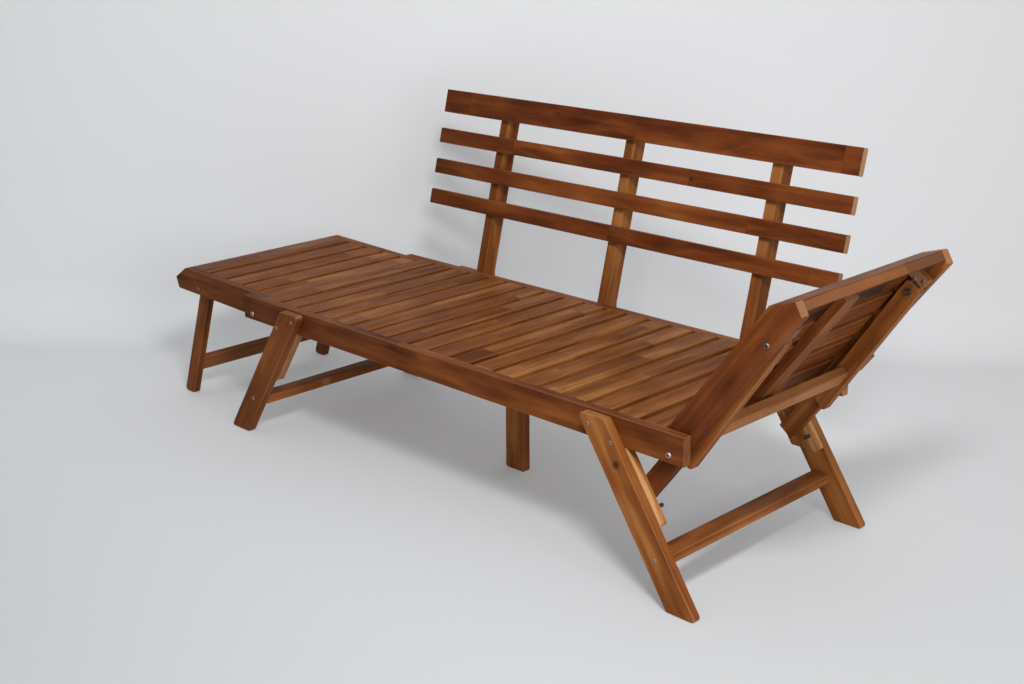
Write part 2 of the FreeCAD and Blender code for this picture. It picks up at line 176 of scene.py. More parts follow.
def makeBoardGrain():
    tree, given, out = newGroup(
        "boardGrain",
        [
            ("Position", "Vector", (0, 0, 0)),
            ("Seed", "Float", 0.0),
            ("Board Step", "Vector", (0, 0, 0)),
            ("Board Shift", "Float", 0.0),
            ("Joint Length", "Float", 0.4),
            ("Joint Shift", "Float", 0.0),
            ("Figure", "Float", 1.0),
            ("Knot Place", "Vector", (9, 9, 9)),
            ("Knot Size", "Float", 0.008),
            ("Patch Place", "Vector", (9, 9, 9)),
            ("Patch Size", "Float", 0.02),
        ],
        [
            ("Tone", "Float"),
            ("Segment", "Float"),
            ("Pores", "Float"),
            ("Knot", "Float"),
            ("Seam", "Float"),
            ("Patch", "Float"),
            ("Height", "Float"),
        ],
    )
    look = grainLook
    place = given["Position"]
    axes = addNode(tree, "SeparateXYZ", {0: place}).outputs

    # Boards of one node are told apart by their place along the step.
    counted = vectorNode(tree, "DOT_PRODUCT", place, given["Board Step"], "Value")
    board = mathNode(tree, "FLOOR", mathNode(tree, "ADD", counted, given["Board Shift"]))
    boardSeed = mathNode(tree, "MULTIPLY_ADD", board, look["boardSeedStep"], given["Seed"])

    # Finger joints: straight on the wide faces, a zigzag on the narrow ones.
    finger = mathNode(tree, "PINGPONG", axes[2], look["fingerWidth"])
    along = mathNode(tree, "MULTIPLY_ADD", finger, look["fingerSlope"], axes[0])
    along = mathNode(tree, "DIVIDE", along, given["Joint Length"])
    shift = mathNode(tree, "MULTIPLY_ADD", boardSeed, look["jointSeedStep"], given["Joint Shift"])
    joints = mathNode(tree, "ADD", along, shift)
    within = mathNode(tree, "FRACT", joints)
    toJoint = mathNode(tree, "MINIMUM", within, inverted(tree, within))
    toJoint = mathNode(tree, "MULTIPLY", toJoint, given["Joint Length"])
    seam = inverted(tree, smoothMask(tree, toJoint, *look["seam"]))
    segment = mathNode(tree, "FLOOR", joints)
    ownSeed = mathNode(tree, "MULTIPLY", boardSeed, look["segmentSeedShare"])
    ownSeed = mathNode(tree, "MULTIPLY_ADD", segment, look["segmentSeedStep"], ownSeed)
    piece = addNode(tree, "TexWhiteNoise", {"W": ownSeed}, noise_dimensions="1D").outputs["Color"]
    chance = addNode(tree, "SeparateColor", {0: piece}).outputs

    # Grain flows round a knot.
    toKnot = vectorNode(tree, "SUBTRACT", place, given["Knot Place"])
    knotAxes = addNode(tree, "SeparateXYZ", {0: toKnot}).outputs
    size = given["Knot Size"]
    knotAlong = mathNode(tree, "DIVIDE", knotAxes[0], size)
    knotAcross = mathNode(tree, "DIVIDE", knotAxes[1], size)
    far = squared(tree, mathNode(tree, "DIVIDE", knotAlong, look["knotStretch"]))
    far = mathNode(tree, "ADD", far, squared(tree, knotAcross))
    pull = mathNode(tree, "DIVIDE", 1.0, mathNode(tree, "ADD", far, 1.0))
    bent = mathNode(tree, "MULTIPLY", mathNode(tree, "MULTIPLY", knotAcross, size), pull)
    bentAcross = mathNode(tree, "MULTIPLY_ADD", bent, look["knotPull"], axes[1])
    high = squared(tree, mathNode(tree, "DIVIDE", knotAcross, look["knotHeight"]))
    core = mathNode(tree, "SQRT", mathNode(tree, "ADD", squared(tree, knotAlong), high))
    knot = inverted(tree, smoothMask(tree, core, *look["knotEdge"]))
    swirl = mathNode(tree, "SINE", mathNode(tree, "MULTIPLY", core, look["knotRings"]))

    # One long patch, paler or darker, with a ragged edge: wood of another tone, and on one leg
    # painted light.
    ragged = stretched(tree, place, look["raggedScale"])
    ragged = noiseNode(tree, ragged, look["raggedDetail"])
    reach = look["raggedReach"]
    ragged = mathNode(tree, "MULTIPLY_ADD", ragged, reach, -reach / 2)
    toPatch = vectorNode(tree, "SUBTRACT", place, given["Patch Place"])
    toPatch = stretched(tree, toPatch, look["patchScale"])
    patchFar = vectorNode(tree, "LENGTH", toPatch, result="Value")
    patchFar = mathNode(tree, "DIVIDE", patchFar, given["Patch Size"])
    patchFar = mathNode(tree, "ADD", patchFar, ragged)
    patch = inverted(tree, smoothMask(tree, patchFar, *look["patchEdge"]))

    # Growth rings round a heart that wanders along the board.
    flowing = addNode(tree, "CombineXYZ", {0: axes[0], 1: bentAcross, 2: axes[2]}).outputs[0]
    moved = vectorNode(tree, "ADD", flowing, stretched(tree, piece, look["segmentJump"]))
    wander = stretched(tree, moved, look["wanderScale"])
    wander = noiseNode(tree, wander, look["wanderDetail"])
    reach = mathNode(tree, "MULTIPLY", given["Figure"], look["wanderReach"])
    wander = mathNode(tree, "MULTIPLY", centred(tree, wander), reach)
    heartAcross = centred(tree, chance[0])
    heartAcross = mathNode(tree, "MULTIPLY_ADD", heartAcross, look["heartSpread"], wander)
    heartDeep = mathNode(
        tree, "MULTIPLY_ADD", chance[1], look["heartSpread"], look["heartDepth"]
    )
    ringAcross = mathNode(tree, "SUBTRACT", bentAcross, heartAcross)
    ringDeep = mathNode(tree, "MULTIPLY_ADD", wander, look["wanderDeep"], heartDeep)
    ringDeep = mathNode(tree, "ADD", axes[2], ringDeep)
    radius = mathNode(tree, "ADD", squared(tree, ringAcross), squared(tree, ringDeep))
    radius = mathNode(tree, "SQRT", radius)
    ringPlace = mathNode(tree, "MULTIPLY", radius, look["ringDensity"])
    ringPlace = mathNode(tree, "MULTIPLY_ADD", chance[2], look["ringShift"], ringPlace)
    values = {"W": ringPlace, "Scale": 1.0, "Detail": look["ringDetail"], "Roughness": 0.5}
    rings = addNode(tree, "TexNoise", values, noise_dimensions="1D").outputs["Fac"]

    # Clouds and blotches, long streaks and fine fibres, then the shade round a knot.
    tone = mathNode(tree, "MULTIPLY_ADD", centred(tree, rings), look["ringShare"], 0.5)
    layers = {}
    for name, (scale, detail, roughness, share) in look["layers"].items():
        layers[name] = noiseNode(tree, stretched(tree, moved, scale), detail, roughness)
        tone = mathNode(tree, "MULTIPLY_ADD", centred(tree, layers[name]), share, tone)
    swirl = mathNode(tree, "MULTIPLY", swirl, pull)
    tone = mathNode(tree, "MULTIPLY_ADD", swirl, look["knotSwirl"], tone, clamp=True)
    halo = mathNode(tree, "MULTIPLY", squared(tree, pull), look["knotHalo"])
    tone = mathNode(tree, "SUBTRACT", tone, halo, clamp=True)
    dashes = stretched(tree, moved, look["poreScale"])
    dashes = noiseNode(tree, dashes, look["poreDetail"])
    pores = smoothMask(tree, dashes, *look["poreEdge"])

    masks = {"Pores": pores, "Rings": rings, "Seam": seam, "Knot": knot}
    height = mathNode(tree, "MULTIPLY", layers["fibres"], look["fibreRelief"])
    for name, share in look["relief"].items():
        height = mathNode(tree, "MULTIPLY_ADD", masks[name], share, height)
    results = {"Tone": tone, "Segment": chance[1], "Pores": pores, "Knot": knot, "Seam": seam}
    for name, socket in {**results, "Patch": patch, "Height": height}.items():
        tree.links.new(socket, out[name])
    return tree


# Oiled acacia: dark heartwood, red-brown body and golden sapwood.
acacia = {
    "dark": (0.034, 0.0090, 0.0026, 1),
    "red": (0.112, 0.0325, 0.0080, 1),
    "brown": (0.205, 0.068, 0.0155, 1),
    "golden": (0.36, 0.150, 0.042, 1),
    "pale": (0.56, 0.33, 0.145, 1),
    "knot": (0.016, 0.0055, 0.0026, 1),
    "end": (0.40, 0.225, 0.125, 1),
    # A painted highlight for the eased edges, lighter and pinker than the wood.
    "edge": (0.36, 0.165, 0.075, 1),
    "redTint": (1.0, 0.79, 0.80, 1),
    "redAt": 0.32,
    "brownAt": 0.64,
    "toneReach": 0.62,
    "paleTone": (0.1, 0.75),
    # Mask, its share and its colour, one over the other.
    "overlays": (
        # The first overlay is a painted highlight on the eased edges.
        ("Edge Highlight", 0.30, "edge"),
        ("Pores", 0.42, "dark"),
        ("Seam", 0.55, "dark"),
        ("Knot", 0.78, "knot"),
    ),
    "roughness": 0.50,
    "toneRoughness": -0.10,
    "poreRoughness": 0.18,
    "endRoughness": 0.16,
}


def makeAcaciaColour():
    tree, given, out = newGroup(
        "acaciaColour",
        [
            ("Tone", "Float", 0.5),
            ("Segment", "Float", 0.5),
            ("Segment Spread", "Float", 0.25),
            ("Pores", "Float", 0.0),
            ("Knot", "Float", 0.0),
            ("Seam", "Float", 0.0),
            ("Patch", "Float", 0.0),
            ("Patch Strength", "Float", 0.3),
            ("Lightness", "Float", 0.5),
            ("Redness", "Float", 0.3),
            ("Paleness", "Float", 0.0),
            ("End", "Float", 0.0),
            ("End Share", "Float", 0.40),
            # Share of the painted highlight on the eased edges.
            ("Edge Highlight", "Float", 0.0),
        ],
        [("Color", "Color"), ("Roughness", "Float")],
    )
    tone = given["Tone"]
    spread = mathNode(tree, "MULTIPLY", centred(tree, given["Segment"]), given["Segment Spread"])
    light = mathNode(tree, "ADD", given["Lightness"], spread)
    light = mathNode(tree, "MULTIPLY_ADD", given["Patch"], given["Patch Strength"], light)
    reach = acacia["toneReach"]
    light = mathNode(tree, "MULTIPLY_ADD", centred(tree, tone), reach, light, clamp=True)
    ramp = addNode(tree, "ValToRGB", {0: light})
    steps = ramp.color_ramp.elements
    steps[0].color = acacia["dark"]
    steps[1].color = acacia["golden"]
    steps.new(acacia["redAt"]).color = acacia["red"]
    steps.new(acacia["brownAt"]).color = acacia["brown"]
    colour = ramp.outputs[0]
    colour = mixColours(tree, given["Redness"], colour, acacia["redTint"], "MULTIPLY")
    paleShare = smoothMask(tree, tone, *acacia["paleTone"])
    paleShare = mathNode(tree, "MULTIPLY", given["Paleness"], paleShare)
    colour = mixColours(tree, paleShare, colour, acacia["pale"])
    endShare = mathNode(tree, "MULTIPLY", given["End"], given["End Share"])
    colour = mixColours(tree, endShare, colour, acacia["end"])
    for mask, most, over in acacia["overlays"]:
        share = mathNode(tree, "MULTIPLY", given[mask], most)
        colour = mixColours(tree, share, colour, acacia[over])
    rough = mathNode(tree, "MULTIPLY_ADD", tone, acacia["toneRoughness"], acacia["roughness"])
    rough = mathNode(tree, "MULTIPLY_ADD", given["Pores"], acacia["poreRoughness"], rough)
    rough = mathNode(
        tree, "MULTIPLY_ADD", given["End"], acacia["endRoughness"], rough, clamp=True
    )
    tree.links.new(colour, out["Color"])
    tree.links.new(rough, out["Roughness"])
    return tree


boardGrain = makeBoardGrain()
acaciaColour = makeAcaciaColour()


# Rows of a board's frame: along the grain, across its wide face, through its thickness.
def boardAxes(along, across):
    a = along.normalized()
    c = a.cross(across).normalized()
    b = c.cross(a).normalized()
    return Matrix((a, b, c))


# What each board's material adds to the grain. Ends and eased edges are told by how squarely a
# face meets the grain or the board's thickness; eased edges get a painted highlight. A board
# without joints has one beyond its end.
boardSurface = {
    "cutEnd": (0.72, 0.92),
    "edgeFrom": (0.15, 0.4),
    "edgeTo": (0.86, 0.985),
    "bump": 0.35,
    "bumpDepth": 0.0005,
    "specular": 0.055,
    "noJoint": 3.0,
    "noJointAt": 1.5,
}


def makeWood(name, axes, centre, seed, look):
    material = bpy.data.materials.new(name)
    material.use_nodes = True
    tree = material.node_tree
    shader = tree.nodes["Principled BSDF"].inputs
    coords = addNode(tree, "TexCoord").outputs
    local = coords["Object"]
    if "Mirrored" in look:  # the left boards are the right ones mirrored
        local = vectorNode(tree, "ABSOLUTE", local)
    start = -(axes @ Vector(centre))
    values = {"Vector": local, "Rotation": axes.to_euler("XYZ"), "Location": start}
    place = addNode(tree, "Mapping", values).outputs[0]

    length = look.get("Joint Length", boardSurface["noJoint"])
    values = {"Seed": seed, "Joint Length": length}
    if "Joint At" in look or "Joint Length" not in look:
        jointAt = look.get("Joint At", boardSurface["noJointAt"])
        values["Joint Shift"] = -jointAt / length - grainLook["jointSeedStep"] * seed
    for label in ("Board Step", "Board Shift", "Figure", "Knot Size", "Patch Size"):
        if label in look:
            values[label] = look[label]
    for label in ("Knot", "Patch"):
        if label + " At" in look:
            values[label + " Place"] = axes @ (Vector(look[label + " At"]) - Vector(centre))
    grain = tree.nodes.new("ShaderNodeGroup")
    grain.node_tree = boardGrain
    tree.links.new(place, grain.inputs["Position"])
    for label, value in values.items():
        grain.inputs[label].default_value = value

    along = vectorNode(tree, "DOT_PRODUCT", coords["Normal"], axes[0], "Value")
    through = vectorNode(tree, "DOT_PRODUCT", coords["Normal"], axes[2], "Value")
    flatness = mathNode(tree, "ABSOLUTE", through)
    cutEnd = smoothMask(tree, mathNode(tree, "ABSOLUTE", along), *boardSurface["cutEnd"])
    # The eased edges, between the wide faces and the narrow ones, carry a painted highlight.
    edgeFrom = smoothMask(tree, flatness, *boardSurface["edgeFrom"])
    edgeTo = smoothMask(tree, flatness, *boardSurface["edgeTo"])
    finish = tree.nodes.new("ShaderNodeGroup")
    finish.node_tree = acaciaColour
    for label in ("Tone", "Segment", "Pores", "Knot", "Seam", "Patch"):
        tree.links.new(grain.outputs[label], finish.inputs[label])
    tree.links.new(cutEnd, finish.inputs["End"])
    tree.links.new(mathNode(tree, "SUBTRACT", edgeFrom, edgeTo), finish.inputs["Edge Highlight"])
    for label in (
        "Lightness",
        "Redness",
        "Paleness",
        "Segment Spread",
        "Patch Strength",
        "End Share",
    ):
        if label in look:
            finish.inputs[label].default_value = look[label]

    values = {
        "Height": grain.outputs["Height"],
        "Strength": boardSurface["bump"],
        "Distance": boardSurface["bumpDepth"],
    }
    relief = addNode(tree, "Bump", values)
    tree.links.new(finish.outputs["Color"], shader["Base Color"])
    tree.links.new(finish.outputs["Roughness"], shader["Roughness"])
    tree.links.new(relief.outputs[0], shader["Normal"])
    shader["Specular IOR Level"].default_value = boardSurface["specular"]
    return material


# Looks by node, where the longest key in a node's name counts. Places are in the frame, in metres.
seatJoints = {"Joint Length": 0.26, "Segment Spread": 0.16}
backJoints = {"Joint Length": 0.55, "Segment Spread": 0.07, "End Share": 0.85}
panelJoints = {"Joint Length": 0.28, "Segment Spread": 0.14, "Board Step": (0, 14.49, 0)}
endJoints = {"Joint Length": 0.30, "Segment Spread": 0.12, "Board Step": (0, 20, 0)}
woodLooks = {
    "front_rail": {
        "Lightness": 0.37,
        "Redness": 0.5,
        "End Share": 0.12,
        "Figure": 0.6,
        "Joint Length": 0.9,
        "Joint At": -0.110,
        "Segment Spread": 0.06,
        "Patch At": (-0.085, -0.2685, 0.333),
        "Patch Size": 0.012,
        "Patch Strength": -0.22,
    },
    "rear_rail": {"Lightness": 0.62, "Figure": 0.6},
    "seat_bearers": {"Lightness": 0.42, "Board Step": (0, 0, 5.2), "Board Shift": 0.5},
    "centre_leg": {"Lightness": 0.74},
    "seat_slat": {**seatJoints, "Lightness": 0.61, "Redness": 0.15},
    "seat_slat_01": {
        **seatJoints,
        "Lightness": 0.60,
        "Knot At": (-0.604, -0.078, 0.3445),
        "Knot Size": 0.004,
    },
    "seat_slat_15": {
        **seatJoints,
        "Lightness": 0.56,
        "Redness": 0.0,
        "Patch At": (0.345, -0.215, 0.3445),
        "Patch Size": 0.026,
        "Patch Strength": 0.14,
    },
    "seat_slat_16": {
        **seatJoints,
        "Lightness": 0.56,
        "Redness": 0.0,
        "Patch At": (0.415, -0.165, 0.3445),
        "Patch Size": 0.034,
        "Patch Strength": 0.18,
    },
    "main_leg_front_left": {"Lightness": 0.68},
    "main_leg_front_right": {
        "Lightness": 0.56,
        "Redness": 0.2,
        "Knot At": (0.532, -0.2895, 0.258),
        "Knot Size": 0.0095,
        # Painted light: a lighter strip low on the leg, for the light bounced up from the floor
        # near its foot.
        "Patch At": (0.575, -0.2895, 0.12),
        "Patch Size": 0.022,
        "Patch Strength": 0.16,
    },
    "main_leg_rear_left": {"Lightness": 0.52},
    "main_leg_rear_right": {"Lightness": 0.8, "Redness": 0.1},
    "leg_doublers": {"Lightness": 0.84, "Redness": 0.0, "Paleness": 0.6, "Mirrored": True},
    "leg_brace_left": {
        "Lightness": 0.66,
        "Patch At": (-0.6026, -0.0875, 0.099),
        "Patch Size": 0.0026,
        "Patch Strength": 0.6,
    },
    "leg_brace_right": {"Lightness": 0.60},
    "back_post_left": {"Lightness": 0.66},
    "back_post_middle": {
        "Lightness": 0.7,
        "Redness": 0.1,
        "Patch At": (0, 0.32, 0.60),
        "Patch Size": 0.03,
        "Patch Strength": 0.22,
    },
    "back_post_right": {
        "Lightness": 0.68,
        "Patch At": (0.41, 0.33, 0.62),
        "Patch Size": 0.03,
        "Patch Strength": 0.22,
    },
    "back_slat": {**backJoints, "Lightness": 0.45, "Redness": 0.75},
    "back_slat_3": {
        **backJoints,
        "Lightness": 0.5,
        "Redness": 0.7,
        "Knot At": (0.204, 0.330, 0.6585),
        "Knot Size": 0.0042,
    },
    "back_slat_4": {
        **backJoints,
        "Lightness": 0.36,
        "Redness": 0.75,
        "Segment Spread": 0.06,
        "Knot At": (-0.222, 0.3545, 0.7537),
        "Knot Size": 0.0035,
    },
    "side_rail": {"Lightness": 0.36, "Redness": 0.5},
    # Painted shade: this board is darker than the other side rails, for the weaker light at the
    # bench's left end.
    "left_side_rail_front": {"Lightness": 0.28, "Redness": 0.5},
    "left_side_rail_rear": {"Lightness": 0.66, "Redness": 0.4},
    # Painted light: this board is lighter, for the bounce light on its inner face.
    "right_side_rail_rear": {"Lightness": 0.70, "Redness": 0.5},
    "left_panel_slats": {**panelJoints, "Lightness": 0.66},
    # Painted shade: the raised right panel's slats are darker than the left panel's, for the shade
    # on its underside.
    "right_panel_slats": {**panelJoints, "Lightness": 0.42, "Segment Spread": 0.07},
    "left_end_boards": {**endJoints, "Lightness": 0.52},
    # Painted shade: darker than the left end boards, for the shade under the raised panel.
    "right_end_boards": {**endJoints, "Lightness": 0.25, "Segment Spread": 0.04},
    "batten": {"Lightness": 0.56},
    "right_batten": {"Lightness": 0.66},
    "stop_blocks": {"Lightness": 0.42},
    "fold_leg": {"Lightness": 0.47},
    "left_fold_leg_rear": {"Lightness": 0.62},
    "right_fold_leg": {"Lightness": 0.74},
    "fold_brace": {"Lightness": 0.52},
    "right_fold_brace": {"Lightness": 0.87, "Redness": 0.1},
}


def lookOf(name):
    return woodLooks[max((k for k in woodLooks if k in name), key=len)]


# How the boards lie in the rest pose, in degrees. The right leg frame is folded.
tilts = {"backLean": 14.2, "legSplay": 33.8, "leftPanel": 1.4, "rightPanel": 52.87}
tilts["leftFold"] = 20.1
tilts["rightFold"] = tilts["leftFold"] + tilts["rightPanel"] - tilts["leftPanel"] - 105.5
alongX, alongY, alongZ = Vector((1, 0, 0)), Vector((0, 1, 0)), Vector((0, 0, 1))
backLean = math.radians(tilts["backLean"])


# Outwards and upwards along a panel.
def panelAxes(side):
    tilt = math.radians(tilts[side + "Panel"])
    out = -1 if side == "left" else 1
    outwards = Vector((out * math.cos(tilt), 0, math.sin(tilt)))
    upwards = Vector((-out * math.sin(tilt), 0, math.cos(tilt)))
    return outwards, upwards


# The way a node's boards run: along the grain, then across the wide face.
def directionOf(name):
    side = "left" if "left" in name else "right"
    out = -1 if side == "left" else 1
    outwards, upwards = panelAxes(side)
    if name.startswith(("front_rail", "rear_rail", "seat_bearers")):
        return alongX, alongZ
    if name.startswith("centre_leg"):
        return alongZ, alongX
    if name.startswith("main_leg") or name == "leg_doublers":
        splay = math.radians(tilts["legSplay"])
        return Vector((out * math.sin(splay), 0, -math.cos(splay))), alongX
    leaned = Vector((0, math.sin(backLean), math.cos(backLean)))
    if name.startswith("back_post"):
        return leaned, alongY
    if name.startswith("back_slat"):
        return alongX, leaned
    if "side_rail" in name:
        return outwards, upwards
    if "batten" in name:
        return outwards, alongY
    if "panel_slats" in name or "end_boards" in name:
        return alongY, outwards
    if "fold_leg" in name:
        turn = math.radians(tilts[side + "Fold"])
        return Vector((out * math.sin(turn), 0, -math.cos(turn))), alongX
    return alongY, alongX


# Eased edges by node, in metres. Before that, slivers between bolt holes are joined, since they
# would bevel badly.
boardEdges = {
    "width": {"back_post": 0.0028, "main_leg": 0.0012, "fold_leg": 0.0012},
    "otherWidth": 0.0009,
    "segments": 2,
    "sharpAngle": 28,
    "flatAngle": 0.6,
    "joined": 0.00001,
}


def easeEdges(name, node):
    node.modifiers.new("joined", "WELD").merge_threshold = boardEdges["joined"]
    flat = node.modifiers.new("flat", "DECIMATE")
    flat.decimate_type = "DISSOLVE"
    flat.angle_limit = math.radians(boardEdges["flatAngle"])
    widths = [width for key, width in boardEdges["width"].items() if key in name]
    eased = node.modifiers.new("eased", "BEVEL")
    eased.width = max(widths, default=boardEdges["otherWidth"])
    eased.segments = boardEdges["segments"]
    eased.limit_method = "ANGLE"
    eased.angle_limit = math.radians(boardEdges["sharpAngle"])
    node.modifiers.new("shaded", "WEIGHTED_NORMAL")


woodSeeds = {"first": 1.7, "step": 2.13}
woodNodes = [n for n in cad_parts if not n.endswith("_bolts") and n != "stop_pegs"]
for count, name in enumerate(sorted(woodNodes)):
    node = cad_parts[name]
    low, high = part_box(name)
    axes = boardAxes(*directionOf(name))
    seed = woodSeeds["first"] + woodSeeds["step"] * count
    wood = makeWood("acacia_" + name, axes, (low + high) / 2, seed, lookOf(name))
    node.data.materials.clear()
    node.data.materials.append(wood)
    easeEdges(name, node)
print("wood finished:", len(woodNodes), "nodes")

# Zinc-plated steel, dull and slightly warm, the same aged, and dark steel that is the pegs' own
# finish and painted shade inside sockets and recesses.
steelLook = {
    "plated": {"colour": (0.47, 0.36, 0.31, 1), "dull": (0.26, 0.19, 0.16, 1), "rough": 0.39},
    "aged": {"colour": (0.20, 0.155, 0.13, 1), "dull": (0.10, 0.075, 0.06, 1), "rough": 0.38},
    # Dark steel: the pegs' own finish, and painted shade in sockets and recesses.
    "dark": {
        "colour": (0.085, 0.068, 0.060, 1),
        "dull": (0.045, 0.036, 0.032, 1),
        "rough": 0.42,
    },
}
steelWear = {
    "scale": 900.0,
    "detail": 3.0,
    "roughSpread": 0.22,
    "dullFrom": (0.35, 0.75),
    "sharpAngle": 35,
}


def makeSteel(kind):
    look = steelLook[kind]
    material = bpy.data.materials.new(kind + "Steel")
    material.use_nodes = True
    tree = material.node_tree
    shader = tree.nodes["Principled BSDF"].inputs
    place = addNode(tree, "TexCoord").outputs["Object"]
    worn = noiseNode(tree, place, steelWear["detail"], scale=steelWear["scale"])
    rough = mathNode(tree, "MULTIPLY_ADD", worn, steelWear["roughSpread"], look["rough"])
    dull = smoothMask(tree, worn, *steelWear["dullFrom"])
    tree.links.new(mixColours(tree, dull, look["colour"], look["dull"]), shader["Base Color"])
    tree.links.new(rough, shader["Roughness"])
    shader["Metallic"].default_value = 1.0
    return material


platedSteel = makeSteel("plated")
agedSteel = makeSteel("aged")
darkSteelAndHollowShade = makeSteel("dark")
for name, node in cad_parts.items():
    if name not in woodNodes:
        node.data.materials.clear()
        node.data.materials.append(darkSteelAndHollowShade)


# Outlines of turned shapes, as a radius for each angle: a hexagon, and a cross recess.
def hexagon(half, corner=1.0):
    def radius(angle):
        turned = (angle + math.pi / 6) % (math.pi / 3) - math.pi / 6
        return min(half / math.cos(turned), corner)

    return radius


def crossRecess(long, half):
    def radius(angle):
        turned = abs((angle + math.pi / 4) % (math.pi / 2) - math.pi / 4)
        return min(long, half / max(math.sin(turned), 0.001))

    return radius


# One skin round an axis, from rows of height, radius or outline, and whether it is painted dark, as
# shade in a hollow.
def addTurned(work, base, up, start, rows, sides):
    up = up.normalized()
    first = (start - up * start.dot(up)).normalized()
    second = up.cross(first)
    rings = []
    for height, radius, _ in rows:
        ring = []
        for k in range(sides):
            angle = 2 * math.pi * k / sides
            r = radius(angle) if callable(radius) else radius
            aside = (first * math.cos(angle) + second * math.sin(angle)) * r
            ring.append(work.verts.new(base + up * height + aside))
        rings.append(ring)
    for low, high, row in zip(rings, rings[1:], rows[1:]):
        for k in range(sides):
            after = (k + 1) % sides
            face = work.faces.new((low[k], low[after], high[after], high[k]))
            face.material_index = int(row[2])
            face.smooth = True
    work.faces.new(list(reversed(rings[0])))
    work.faces.new(rings[-1]).material_index = int(rows[-1][2])


def finishHardware(name, work, body, steel):
    mesh = bpy.data.meshes.new(name)
    work.to_mesh(mesh)
    work.free()
    mesh.set_sharp_from_angle(angle=math.radians(steelWear["sharpAngle"]))
    mesh.materials.append(steel)
    mesh.materials.append(darkSteelAndHollowShade)
    made = linkNew(name, mesh)
    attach(made, body)
    return made


# Domed bolts with a hexagon socket, and their nuts. Runs go from under the head to the nut's end,
# measured from the bench's middle plane. Rows are of height, from there, and radius.
boltLook = {
    "shank": 0.004,
    "sides": 36,
    "tip": ((0.0004, 0.0028), (0.0, 0.0037)),
    "nut": 0.0065,
    "nutCorner": 0.0068,
    "nutHeight": 0.0050,
    "nutCorners": (0.0006, 0.0010, 0.0040, 0.0046),
    "nutEnds": (0.0045, 0.0063, 0.0061),
    "dome": (
        (0.0, 0.0058),
        (0.0004, 0.00622),
        (0.0011, 0.00615),
        (0.0021, 0.00560),
        (0.0030, 0.00475),
        (0.0036, 0.00390),
        (0.0039, 0.00335),
        (0.0039, 0.00300),
    ),
    "socket": 0.0025,
    "socketRim": 0.0035,
    # The socket's floor is painted dark, as shade.
    "socketFloor": (0.0012, 0.0010, 0.0008),
    "runs": {"hinge": (0.2687, 0.2266), "fold": (0.2473, 0.2005)},
}


def boltRows(run):
    shank, end = boltLook["shank"], -run
    wholeNut = hexagon(boltLook["nut"])
    clippedNut = hexagon(boltLook["nut"], boltLook["nutCorner"])
    firstClip, firstWhole, lastWhole, lastClip = boltLook["nutCorners"]
    bore, lowRound, highRound = boltLook["nutEnds"]
    socket = hexagon(boltLook["socket"])
    floorEdge, floorMiddle, floorRadius = boltLook["socketFloor"]
    top = end + boltLook["nutHeight"]
    return [
        *((end + height, radius, False) for height, radius in boltLook["tip"]),
        # The ring round the bolt's end in the nut is painted dark, as shade.
        (end, bore, True),
        (end, lowRound, False),
        (end + firstClip, clippedNut, False),
        (end + firstWhole, wholeNut, False),
        (end + lastWhole, wholeNut, False),
        (end + lastClip, clippedNut, False),
        (top, highRound, False),
        (top, shank, False),
        (0.0, shank, False),
        *((height, radius, False) for height, radius in boltLook["dome"]),
        (boltLook["socketRim"], socket, False),
        (floorEdge, socket, True),
        (floorMiddle, floorRadius, True),
    ]


def makeBolts():
    for side in ("left", "right"):
        for kind, (head, end) in boltLook["runs"].items():
            node = "%s_%s_bolts" % (side, kind)
            body = side + ("_bolts" if kind == "hinge" else "_leg_frame")
            steel = platedSteel if kind == "hinge" else agedSteel
            low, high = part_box(node)
            middle = (low + high) / 2
            outwards = panelAxes(side)[0]
            work = bmesh.new()
            for y in (-1, 1):
                base = Vector((middle.x, y * head, middle.z))
                rows = boltRows(head - end)
                addTurned(work, base, alongY * y, outwards, rows, boltLook["sides"])
            made = finishHardware(side + kind.capitalize() + "Bolts", work, body, steel)
            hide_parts(node)


# Flush screws with a cross recess. A folded leg passes close to its side rail, so its are sunk.
screwLook = {
    "radius": 0.0043,
    "sides": 24,
    "proud": 0.0006,
    "sunkProud": 0.00022,
    # A thin ring round the head, painted dark as shade in the countersink.
    "shadeRing": ((-0.0008, 0.0), (0.00005, 0.0002), (0.00006, 0.0)),
    "head": ((0.6, -0.0002), (1.0, -0.0007), (0.8, -0.0014)),
    "recess": (0.8, 0.4),
    "crossLong": 0.0027,
    "crossHalf": 0.0009,
    "turnStep": 1.7,
}

# Where screws are driven, in metres from the bench's middle: x and z, unless it is said.
screwSpots = {
    "mainLeg": ((0.459, 0.3215), (0.517, 0.298), (0.6295, 0.0945)),
    "doubler": ((0.519, 0.262), (0.556, 0.207)),
    "corner": {"left": (-0.93905, 0.31335), "right": (0.84345, 0.57785)},
    "cornerSteps": ((-0.008, 0.0058), (0.0018, -0.0105)),  # outwards and upwards along the panel
    "cleat": {"left": (-0.6973, 0.29395), "right": (0.70805, 0.37665)},
    "cleatSteps": (-0.014, 0.014),  # outwards along the panel
    "posts": {"left": -0.41, "middle": 0.0, "right": 0.41},  # x only
    "postHeights": (0.302, 0.330),
    "slats": (1, 2, 3, 4),  # the backrest slats, screwed through each post
    "centreLeg": ((-0.034, 0.3125), (-0.005, 0.3035)),
    "clear": 0.45,
    "slatClear": 0.2,
}


